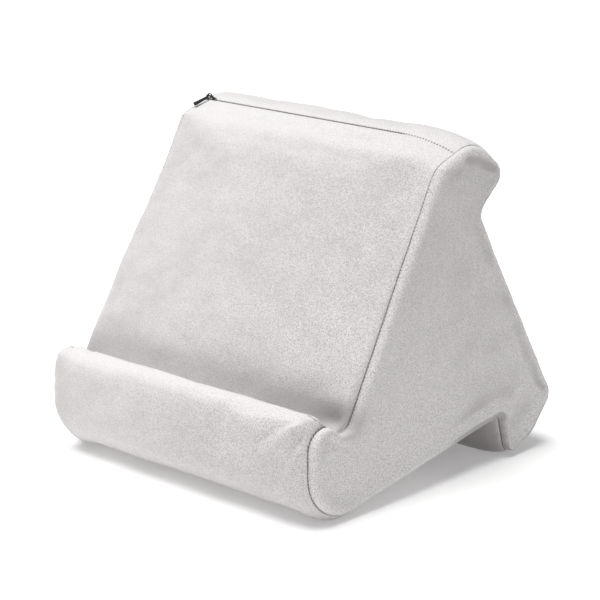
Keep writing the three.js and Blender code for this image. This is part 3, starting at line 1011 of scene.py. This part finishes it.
VELOUR_LIGHT = (0.79, 0.762, 0.761, 1)
VELOUR_DARK = (0.645, 0.62, 0.623, 1)
VELOUR_GAPS_AND_SHADE = (0.40, 0.38, 0.382, 1)  # between the tufts, and painted shade under the rear half and in the groove
VELOUR_HIGHLIGHT = (0.88, 0.856, 0.853, 1)  # painted highlight on the rolled rims, on surfaces that face up, and low on the right side for the floor's bounced light
VELOUR_STITCH_SHADE = (0.16, 0.15, 0.15, 1)  # painted shade in the holes of the stitches
STITCH_PITCH = 2.6


def velour_material():
    """Short pile with brushed patches, fine tufts, painted highlights on its rims, painted shade in its
    hollows, and stitches at each seam.
    """
    recipe = Recipe("velour")
    patches = recipe.noise(13, 4, 0.6, 1.2)
    strokes = recipe.noise(1, 3, 0.65, 0.8, recipe.stretched((30, 95, 62), (0.5, 0.2, 0.4)))
    crushed = recipe.noise(110, 3, 0.6, 0.6)
    tufts = recipe.noise(1, 2, 0.6, 0.3, recipe.stretched((1000, 1700, 1350), (0.3, 0.5, 0.2)))
    fibres = recipe.noise(2400, 1, 0.5)
    share = recipe.times(recipe.ranged(patches, 0.38, 0.64), 0.38)
    share = recipe.math("ADD", share, recipe.times(recipe.ranged(strokes, 0.38, 0.66), 0.26))
    share = recipe.math("ADD", share, recipe.times(recipe.ranged(crushed, 0.35, 0.7), 0.2))
    pile = recipe.mix(recipe.math("SUBTRACT", share, 0.05, clamp=True), VELOUR_LIGHT, VELOUR_DARK)
    grain = recipe.math("ADD", recipe.times(tufts, 0.6), recipe.times(fibres, 0.4))
    # The right side has darker smudges, and its lower part gets a painted highlight for the light bounced
    # off the floor. Tops get a painted highlight, as do the rolled rims.
    top_highlight = recipe.ranged(recipe.facing("Z"), 0.53, 0.9, 0.0, 0.85)
    sideways = recipe.ranged(recipe.facing("X"), 0.6, 0.95)
    smudges = recipe.ranged(recipe.noise(27, 3, 0.55, 1.0), 0.44, 0.6, 0.3, 0.0)
    pile = recipe.mix(recipe.times(sideways, smudges), pile, VELOUR_DARK)
    bounce_highlight = recipe.times(sideways, recipe.ranged(recipe.axis("Z"), 0.03, 0.17, 0.85, 0.0))
    rim_and_top_highlight = recipe.math("MAXIMUM", recipe.times(recipe.attribute("rim_highlight"), 0.7), top_highlight)
    pile = recipe.mix(recipe.math("MAXIMUM", rim_and_top_highlight, bounce_highlight), pile, VELOUR_HIGHLIGHT)
    # Painted shade on the rear half's underside and in the groove.
    downward = recipe.ranged(recipe.facing("Z"), 0.1, -0.3)
    underside = recipe.times(downward, recipe.ranged(recipe.axis("Y"), 0.0, 0.03))
    painted_shade = recipe.math("MAXIMUM", underside, recipe.times(recipe.attribute("groove_shade"), 0.8))
    pile = recipe.mix(painted_shade, pile, VELOUR_GAPS_AND_SHADE)
    # The grain grows stronger to the right, and is weaker where the pile faces up.
    open_pile = recipe.ranged(recipe.axis("X"), -0.13, 0.11, 0.38, 0.82)
    open_pile = recipe.times(open_pile, recipe.ranged(recipe.facing("Z"), 0.53, 0.9, 1.0, 0.6))
    gaps = recipe.times(recipe.ranged(grain, 0.45, 0.58), open_pile)
    pile = recipe.mix(gaps, pile, VELOUR_GAPS_AND_SHADE)
    # The stitches are dents in the cloth, with painted shade in their holes.
    near = recipe.attribute("seam_near")
    turn = recipe.times(recipe.attribute("seam_run"), 2 * math.pi / STITCH_PITCH)
    beat = recipe.ranged(recipe.math("COSINE", turn), 0.2, 1.0)
    stitch = recipe.times(beat, recipe.ranged(near, 0.3, 1.0, 1.0, 0.0))
    recipe.color(recipe.mix(stitch, pile, VELOUR_STITCH_SHADE))
    recipe.roughness(recipe.ranged(patches, 0.3, 0.7, 0.78, 0.95))
    height = recipe.math("ADD", recipe.times(grain, -1.6), recipe.times(crushed, 0.8))
    recipe.bump(recipe.math("SUBTRACT", height, recipe.times(stitch, 1.2)), 0.5, 0.0007)
    recipe.set(Sheen_Weight=0.35, Sheen_Roughness=0.4, Specular_IOR_Level=0.2)
    recipe.shader.inputs["Sheen Tint"].default_value = (1, 0.99, 0.985, 1)
    return recipe.material


def foam_material():
    """Open-cell foam, cream, with a skin of small pores."""
    recipe = Recipe("foam")
    pores = recipe.cells(900)
    stain = recipe.noise(18, 3, 0.6)
    base = recipe.mix(recipe.ranged(stain, 0.35, 0.7), (0.82, 0.77, 0.6, 1), (0.76, 0.68, 0.48, 1))
    recipe.color(recipe.mix(recipe.ranged(pores, 0.0, 0.25, 0.45, 0.0), base, (0.5, 0.43, 0.27, 1)))
    recipe.roughness(recipe.ranged(pores, 0, 0.5, 1.0, 0.85))
    recipe.bump(pores, 0.6, 0.0008)
    return recipe.material


def tape_material():
    """Polyester tape woven in narrow ribs."""
    recipe = Recipe("zip_tape")
    ribs = recipe.math("SINE", recipe.times(recipe.axis("X"), 2 * math.pi / 0.0009))
    threads = recipe.noise(1, 2, 0.6, 0, recipe.stretched((2600, 700, 700), (0, 0, 0)))
    base = recipe.mix(recipe.ranged(ribs, -1, 1), (0.58, 0.56, 0.555, 1), (0.70, 0.68, 0.675, 1))
    recipe.color(recipe.mix(recipe.times(threads, 0.4), base, (0.42, 0.40, 0.40, 1)))
    recipe.roughness(recipe.ranged(threads, 0.2, 0.8, 0.7, 0.9))
    recipe.bump(recipe.math("ADD", ribs, threads), 0.4, 0.00015)
    return recipe.material


def nylon_material():
    """Grey nylon wire, slightly glossy, with a faint clouding."""
    recipe = Recipe("zip_coil")
    cloud = recipe.noise(300, 2, 0.5)
    recipe.color(recipe.mix(recipe.ranged(cloud, 0.3, 0.7), (0.58, 0.56, 0.55, 1), (0.66, 0.64, 0.63, 1)))
    recipe.roughness(recipe.ranged(cloud, 0.3, 0.7, 0.32, 0.48))
    recipe.bump(cloud, 0.15, 0.0001)
    return recipe.material


def paint_material():
    """Black paint on a cast slider, worn to a duller dark grey on its flats."""
    recipe = Recipe("black_slider")
    worn = recipe.noise(420, 3, 0.6, 0.4)
    fine = recipe.noise(2600, 2, 0.6)
    bare = recipe.ranged(worn, 0.56, 0.72)
    recipe.color(recipe.mix(bare, (0.008, 0.008, 0.009, 1), (0.04, 0.038, 0.036, 1)))
    recipe.roughness(recipe.ranged(worn, 0.35, 0.75, 0.3, 0.52))
    recipe.bump(fine, 0.12, 0.00008)
    return recipe.material


MATERIALS = {
    "velour": velour_material(),
    "foam": foam_material(),
    "zip_tape": tape_material(),
    "zip_coil": nylon_material(),
    "black_slider": paint_material(),
}

# ---------------------------------------------------------------- riding on the frame


def stand_in(piece, node, slot):
    """A Blender piece takes a CAD node's place on the cushion."""
    piece.data.materials.append(MATERIALS[slot])
    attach(piece, "cushion")
    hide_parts(node)


for panel_name, panel in cover.items():
    stand_in(panel, panel_name + "_panel", "velour")
stand_in(foam, "foam_core", "foam")
for tape_side in ("front", "rear"):
    stand_in(tapes[tape_side], "zip_tape_" + tape_side, "zip_tape")
    stand_in(coils[tape_side], "zip_coil_" + tape_side, "zip_coil")

KEPT_NODES = {  # each with its slot and its bevel's width
    "zip_top_stop": ("zip_coil", 0.3),
    "zip_bottom_stop": ("zip_coil", 0.3),
    "zip_slider_body": ("black_slider", 0.22),
    "zip_pull_tab": ("black_slider", 0.2),
}


def finish_node(node, slot, bevel):
    """A CAD node that stays gets rounded edges and its material."""
    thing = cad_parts[node]
    thing.data.materials.clear()
    thing.data.materials.append(MATERIALS[slot])
    rounding = thing.modifiers.new("rounded edges", "BEVEL")
    rounding.width = bevel * MM
    rounding.segments = 3
    rounding.limit_method = "ANGLE"
    rounding.angle_limit = math.radians(35)
    rounding.harden_normals = True


for node, (slot, bevel) in KEPT_NODES.items():
    finish_node(node, slot, bevel)

# ---------------------------------------------------------------- floor, light and camera

FLOOR_HALF = 12.0
SKY = 0.25  # light from all round
KEY = 3.06  # a broad soft light from above and a little from the front left
KEY_FROM = Vector((-0.12, -0.18, 1))
KEY_ANGLE = 44  # its breadth in degrees
FLOOR_GLOW = 0.21  # the floor is a white sheet lit a little from below

bpy.ops.mesh.primitive_plane_add(size=2 * FLOOR_HALF)
floor = bpy.context.object
floor.name = "studio_floor"
floor_recipe = Recipe("studio_floor")
floor_recipe.set(Base_Color=(0.93, 0.93, 0.925, 1), Roughness=0.8, Specular_IOR_Level=0.1)
floor_recipe.set(Emission_Color=(1, 1, 1, 1), Emission_Strength=FLOOR_GLOW)
floor.data.materials.append(floor_recipe.material)

world = bpy.data.worlds.new("studio")
bpy.context.scene.world = world
world.use_nodes = True
background = next(n for n in world.node_tree.nodes if n.type == "BACKGROUND")
background.inputs["Color"].default_value = (1, 1, 1, 1)
background.inputs["Strength"].default_value = SKY

key_data = bpy.data.lights.new("key", "SUN")
key_data.energy = KEY
key_data.angle = math.radians(KEY_ANGLE)
key = bpy.data.objects.new("key", key_data)
key.location = KEY_FROM * 2
key.rotation_euler = KEY_FROM.to_track_quat("Z", "Y").to_euler()
bpy.context.scene.collection.objects.link(key)

bpy.context.scene.view_settings.view_transform = "Standard"

CAMERA_AZIMUTH = math.radians(43.23)
CAMERA_HEIGHT = math.radians(15.54)
CAMERA_DISTANCE = 1.6821
CAMERA_TARGET = Vector((0.0012, -0.00065, 0.11188))
CAMERA_SENSOR = 36
CAMERA_LENS = 136.64
level = math.cos(CAMERA_HEIGHT)
back = Vector((math.sin(CAMERA_AZIMUTH) * level, -math.cos(CAMERA_AZIMUTH) * level, math.sin(CAMERA_HEIGHT)))
camera_data = bpy.data.cameras.new("camera")
camera_data.sensor_width = CAMERA_SENSOR
camera_data.lens = CAMERA_LENS
camera = bpy.data.objects.new("camera", camera_data)
camera.location = CAMERA_TARGET + back * CAMERA_DISTANCE
camera.rotation_euler = (-back).to_track_quat("-Z", "Y").to_euler()
bpy.context.scene.collection.objects.link(camera)
bpy.context.scene.camera = camera
